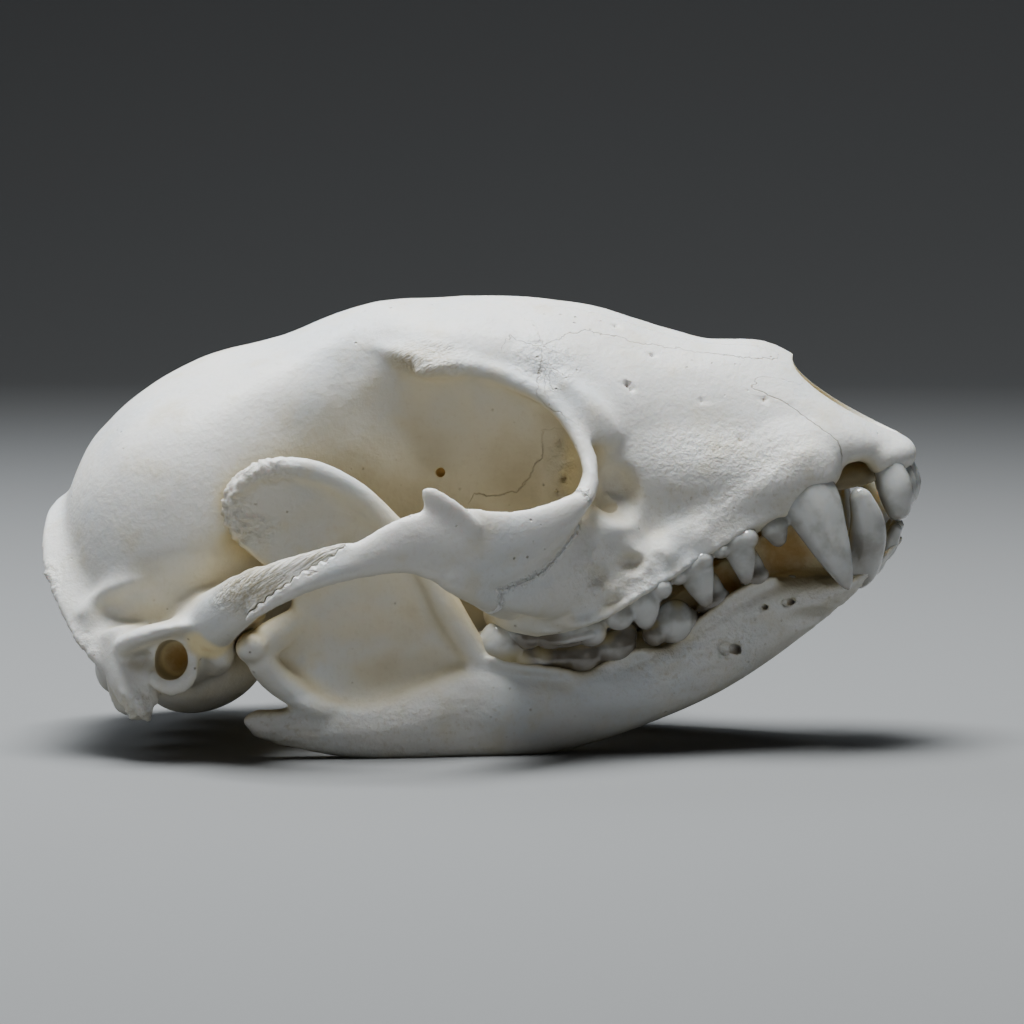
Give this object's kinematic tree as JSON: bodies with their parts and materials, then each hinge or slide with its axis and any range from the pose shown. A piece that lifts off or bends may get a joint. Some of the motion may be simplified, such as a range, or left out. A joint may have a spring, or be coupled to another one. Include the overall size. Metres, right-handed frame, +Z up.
{
  "type": "raccoon skull",
  "caption": "Life-size raccoon skull with cheek bones and closed lower jaw, resting on the lower edges of the jaw.",
  "frame": {"origin": "centre of the bounding box at the level the jaw rests on", "axes": "+X toward the nose, +Y toward the animal's left side, +Z up"},
  "size_m": [0.1118, 0.076, 0.0573],
  "materials": {
    "bone": "dry bleached bone, off-white with a faint warm tint, satin",
    "enamel": "tooth enamel, milky white, glossy"
  },
  "bodies": {
    "root": {"cranium": "bone", "jugal_right": "bone", "jugal_left": "bone", "dentary_right": "bone", "dentary_left": "bone"}
  },
  "joints": []
}
